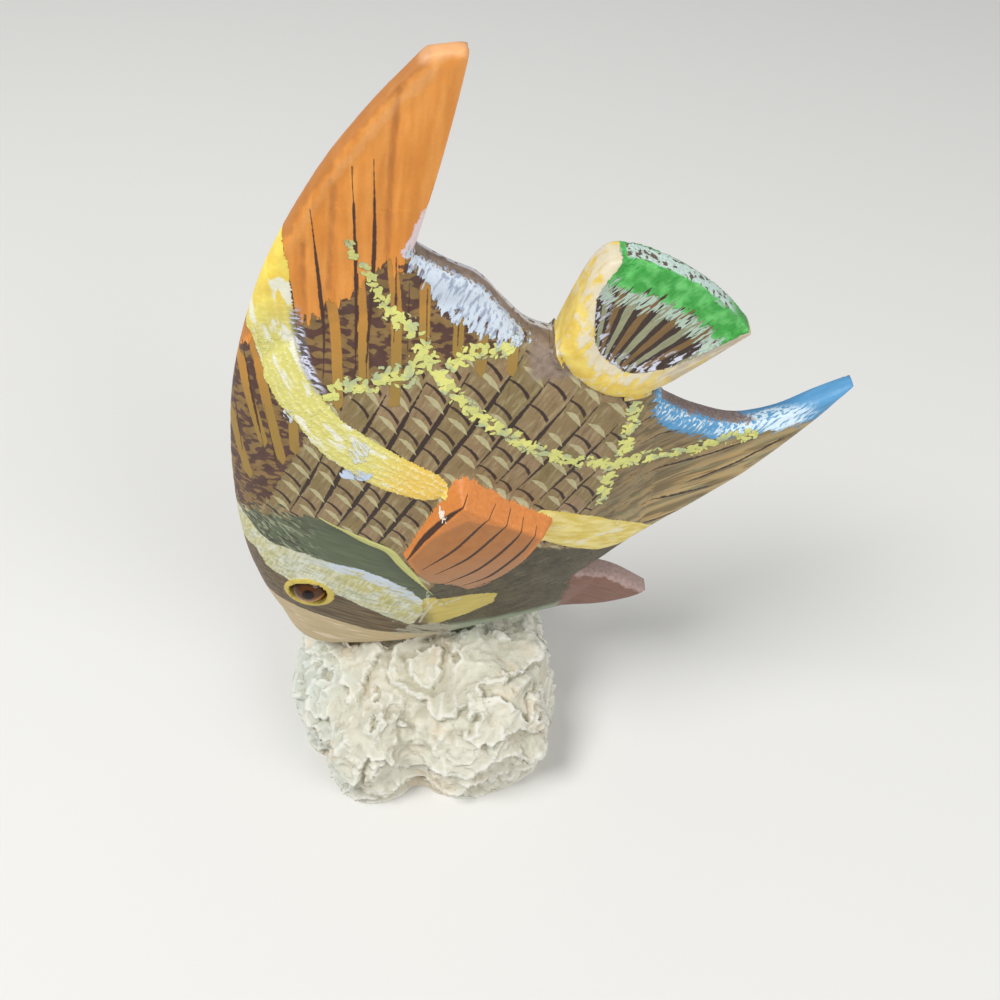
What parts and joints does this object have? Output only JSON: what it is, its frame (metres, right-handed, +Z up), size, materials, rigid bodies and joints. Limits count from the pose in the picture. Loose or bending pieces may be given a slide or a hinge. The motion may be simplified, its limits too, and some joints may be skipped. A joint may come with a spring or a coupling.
{
  "type": "wooden fish carving",
  "caption": "Painted angelfish carved from thin wood with tall swept fins, standing nose down on a lump of pale coral with a flat cut underside.",
  "frame": {"origin": "on the coral's flat underside, straight below the middle plane of the fish and midway along the coral", "axes": "+Z up, +X along the fish towards its tail, -Y towards the side on show"},
  "size_m": [0.0679, 0.0404, 0.0969],
  "materials": {
    "painted_wood": "hand painted, satin",
    "left_eye_glass": "glossy amber bead",
    "right_eye_glass": "glossy amber bead",
    "coral": "rough, chalky"
  },
  "bodies": {
    "root": {"wooden_fish": "painted_wood", "left_eye": "left_eye_glass", "right_eye": "right_eye_glass", "coral_base": "coral"}
  },
  "joints": []
}
